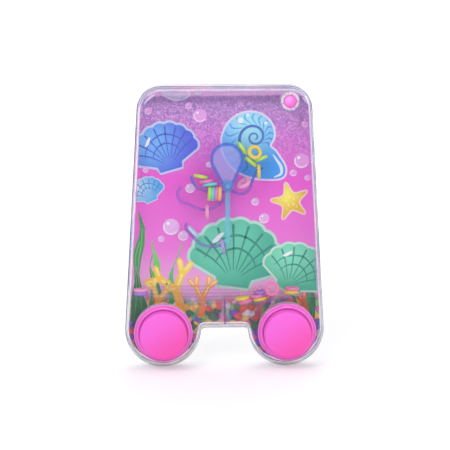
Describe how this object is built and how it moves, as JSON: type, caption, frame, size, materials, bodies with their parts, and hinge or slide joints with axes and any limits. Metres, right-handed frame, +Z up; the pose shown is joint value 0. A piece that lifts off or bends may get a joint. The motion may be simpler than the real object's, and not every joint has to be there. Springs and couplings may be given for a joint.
{
  "type": "handheld water game",
  "caption": "Handheld water game: clear tank on two round feet with two push-button pumps, a catch wheel, fixed hooks, loose toss rings and a picture card behind.",
  "frame": {"origin": "middle of the bounding box on the surface that the two round feet stand on", "axes": "+Z up, the front with its buttons towards -Y, +X to the right of a player who looks at the front"},
  "size_m": [0.0998, 0.0214, 0.142],
  "materials": {
    "clear_front": "clear glossy moulded plastic",
    "clear_back": "clear glossy moulded plastic",
    "clear_floor": "clear ribbed moulded plastic",
    "clear_tree": "violet-pink see-through plastic",
    "violet_wheel": "violet-blue see-through plastic",
    "blue_pin": "blue glossy plastic",
    "violet_nozzle": "dark violet plastic",
    "card_print": null,
    "clear_cover": "clear moulded plastic",
    "pink_collar": "orchid pink moulded plastic",
    "pink_cap": "satin pink plastic",
    "pink_stopper": "soft glossy pink",
    "soft_pump": "soft pale rubber",
    "ring_orange": "glossy plastic",
    "ring_pink": "glossy plastic",
    "ring_rose": "glossy plastic",
    "ring_cyan": "glossy plastic",
    "ring_lime": "glossy plastic",
    "ring_yellow": "glossy plastic",
    "ring_purple": "glossy plastic",
    "ring_pale": "pale blue glossy plastic",
    "ring_lilac": "glossy plastic"
  },
  "bodies": {
    "tank": {"front_shell": "clear_front", "filler_neck": "clear_front", "back_shell": "clear_back", "picture_card": "card_print", "back_cover": "clear_cover", "ring_floor": "clear_floor", "nozzle_block": "violet_nozzle", "hook_tree": "clear_tree", "hub_pin": "blue_pin", "left_button_collar": "pink_collar", "right_button_collar": "pink_collar", "left_pump_bulb": "soft_pump", "right_pump_bulb": "soft_pump"},
    "left_button": {"left_button_cap": "pink_cap"},
    "right_button": {"right_button_cap": "pink_cap"},
    "stopper": {"filler_plug": "pink_stopper"},
    "wheel": {"catch_wheel": "violet_wheel"},
    "ring_arm_orange": {"ring_arm_orange": "ring_orange"},
    "ring_arm_pink": {"ring_arm_pink": "ring_pink"},
    "ring_arm_cyan": {"ring_arm_cyan": "ring_cyan"},
    "ring_arm_green": {"ring_arm_green": "ring_lime"},
    "ring_cup_cyan": {"ring_cup_cyan": "ring_cyan"},
    "ring_cup_pink": {"ring_cup_pink": "ring_pink"},
    "ring_cup_lime": {"ring_cup_lime": "ring_lime"},
    "ring_petal_green": {"ring_petal_green": "ring_lime"},
    "ring_perch_green": {"ring_perch_green": "ring_lime"},
    "ring_perch_lime": {"ring_perch_lime": "ring_lime"},
    "ring_perch_yellow": {"ring_perch_yellow": "ring_yellow"},
    "ring_cup_rose": {"ring_cup_rose": "ring_rose"},
    "ring_tip_yellow": {"ring_tip_yellow": "ring_yellow"},
    "ring_hook_pale": {"ring_hook_pale": "ring_pale"},
    "ring_hook_lilac": {"ring_hook_lilac": "ring_lilac"},
    "ring_hook_white": {"ring_hook_white": "ring_pale"},
    "ring_floor_purple": {"ring_floor_purple": "ring_purple"},
    "ring_floor_rose": {"ring_floor_rose": "ring_rose"},
    "ring_heap_pink": {"ring_heap_pink": "ring_pink"},
    "ring_heap_yellow": {"ring_heap_yellow": "ring_yellow"},
    "ring_pile_yellow": {"ring_pile_yellow": "ring_yellow"},
    "ring_pile_pink": {"ring_pile_pink": "ring_pink"},
    "ring_pile_purple": {"ring_pile_purple": "ring_purple"},
    "ring_stack_yellow": {"ring_stack_yellow": "ring_yellow"},
    "ring_stack_pink": {"ring_stack_pink": "ring_pink"},
    "ring_upright_pink": {"ring_upright_pink": "ring_pink"}
  },
  "joints": [
    {"name": "left_button_press", "type": "slide", "parent": "tank", "child": "left_button", "axis": [0, 1, 0], "range_m": [0, 0.0034], "stiffness_N_per_m": 400, "deforming": ["left_pump_bulb"]},
    {"name": "right_button_press", "type": "slide", "parent": "tank", "child": "right_button", "axis": [0, 1, 0], "range_m": [0, 0.0034], "stiffness_N_per_m": 400, "deforming": ["right_pump_bulb"]},
    {"name": "stopper_pull", "type": "slide", "parent": "tank", "child": "stopper", "axis": [0, -1, 0], "range_m": [0, 0.008]},
    {"name": "wheel_rock", "type": "hinge", "parent": "tank", "child": "wheel", "pos_m": [0.0014, 0.00205, 0.0925], "axis": [0, 1, 0], "range_deg": [-5, 10]},
    {"name": "ring_arm_orange_swing", "type": "hinge", "parent": "wheel", "child": "ring_arm_orange", "pos_m": [-0.0026, 0.00205, 0.08944], "axis": [-0.9982, 0, 0.0605], "range_deg": [-15, 15]},
    {"name": "ring_arm_pink_swing", "type": "hinge", "parent": "wheel", "child": "ring_arm_pink", "pos_m": [-0.00428, 0.00205, 0.08954], "axis": [-0.9982, 0, 0.0605], "range_deg": [-15, 15]},
    {"name": "ring_arm_cyan_swing", "type": "hinge", "parent": "wheel", "child": "ring_arm_cyan", "pos_m": [-0.00595, 0.00205, 0.08964], "axis": [-0.9982, 0, 0.0605], "range_deg": [-15, 15]},
    {"name": "ring_arm_green_swing", "type": "hinge", "parent": "wheel", "child": "ring_arm_green", "pos_m": [-0.00763, 0.00205, 0.08974], "axis": [-0.9982, 0, 0.0605], "range_deg": [-15, 15]},
    {"name": "ring_cup_cyan_lift", "type": "slide", "parent": "wheel", "child": "ring_cup_cyan", "axis": [0, 0, 1], "range_m": [0, 0.002]},
    {"name": "ring_cup_pink_lift", "type": "slide", "parent": "ring_cup_cyan", "child": "ring_cup_pink", "axis": [0, 0, 1], "range_m": [0, 0.001]},
    {"name": "ring_cup_lime_lift", "type": "slide", "parent": "ring_cup_pink", "child": "ring_cup_lime", "axis": [0, 0, 1], "range_m": [0, 0.002]},
    {"name": "ring_cup_rose_lift", "type": "slide", "parent": "wheel", "child": "ring_cup_rose", "axis": [0, 0, 1], "range_m": [0, 0.003]},
    {"name": "ring_petal_green_lift", "type": "slide", "parent": "wheel", "child": "ring_petal_green", "axis": [0, 0, 1], "range_m": [0, 0.006]},
    {"name": "ring_perch_green_lift", "type": "slide", "parent": "wheel", "child": "ring_perch_green", "axis": [0, 0, 1], "range_m": [0, 0.0005]},
    {"name": "ring_perch_lime_slip", "type": "slide", "parent": "ring_perch_green", "child": "ring_perch_lime", "axis": [0.9889, 0, 0.1483], "range_m": [0, 0.006]},
    {"name": "ring_perch_yellow_lift", "type": "slide", "parent": "ring_perch_green", "child": "ring_perch_yellow", "axis": [0, 0, 1], "range_m": [0, 0.008]},
    {"name": "ring_tip_yellow_swing", "type": "hinge", "parent": "wheel", "child": "ring_tip_yellow", "pos_m": [0.01671, 0.00205, 0.10052], "axis": [1, 0, 0], "range_deg": [-15, 15]},
    {"name": "ring_hook_pale_swing", "type": "hinge", "parent": "tank", "child": "ring_hook_pale", "pos_m": [-0.00878, 0.00385, 0.08015], "axis": [1, 0, 0], "range_deg": [-15, 15]},
    {"name": "ring_hook_lilac_swing", "type": "hinge", "parent": "tank", "child": "ring_hook_lilac", "pos_m": [-0.00082, 0.00385, 0.06236], "axis": [0.9806, 0, 0.1961], "range_deg": [-10, 10]},
    {"name": "ring_hook_white_lift", "type": "slide", "parent": "tank", "child": "ring_hook_white", "axis": [0.7451, 0, 0.6669], "range_m": [0, 0.005]},
    {"name": "ring_floor_purple_lift", "type": "slide", "parent": "tank", "child": "ring_floor_purple", "axis": [0.0593, 0, 0.9982], "range_m": [0, 0.02]},
    {"name": "ring_floor_rose_lift", "type": "slide", "parent": "ring_floor_purple", "child": "ring_floor_rose", "axis": [0.0593, 0, 0.9982], "range_m": [0, 0.05]},
    {"name": "ring_heap_pink_slip", "type": "slide", "parent": "tank", "child": "ring_heap_pink", "axis": [-0.9285, 0, 0.3714], "range_m": [0, 0.002]},
    {"name": "ring_heap_yellow_lift", "type": "slide", "parent": "ring_heap_pink", "child": "ring_heap_yellow", "axis": [0, 0, 1], "range_m": [0, 0.01]},
    {"name": "ring_pile_yellow_lift", "type": "slide", "parent": "tank", "child": "ring_pile_yellow", "axis": [0, 0, 1], "range_m": [0, 0.008]},
    {"name": "ring_pile_pink_lift", "type": "slide", "parent": "ring_pile_yellow", "child": "ring_pile_pink", "axis": [0, 0, 1], "range_m": [0, 0.006]},
    {"name": "ring_pile_purple_lift", "type": "slide", "parent": "ring_pile_pink", "child": "ring_pile_purple", "axis": [0, 0, 1], "range_m": [0, 0.01]},
    {"name": "ring_stack_yellow_lift", "type": "slide", "parent": "tank", "child": "ring_stack_yellow", "axis": [0, 0, 1], "range_m": [0, 0.015]},
    {"name": "ring_stack_pink_lift", "type": "slide", "parent": "ring_stack_yellow", "child": "ring_stack_pink", "axis": [0, 0, 1], "range_m": [0, 0.03]},
    {"name": "ring_upright_pink_lift", "type": "slide", "parent": "tank", "child": "ring_upright_pink", "axis": [0, 0, 1], "range_m": [0, 0.02]}
  ]
}
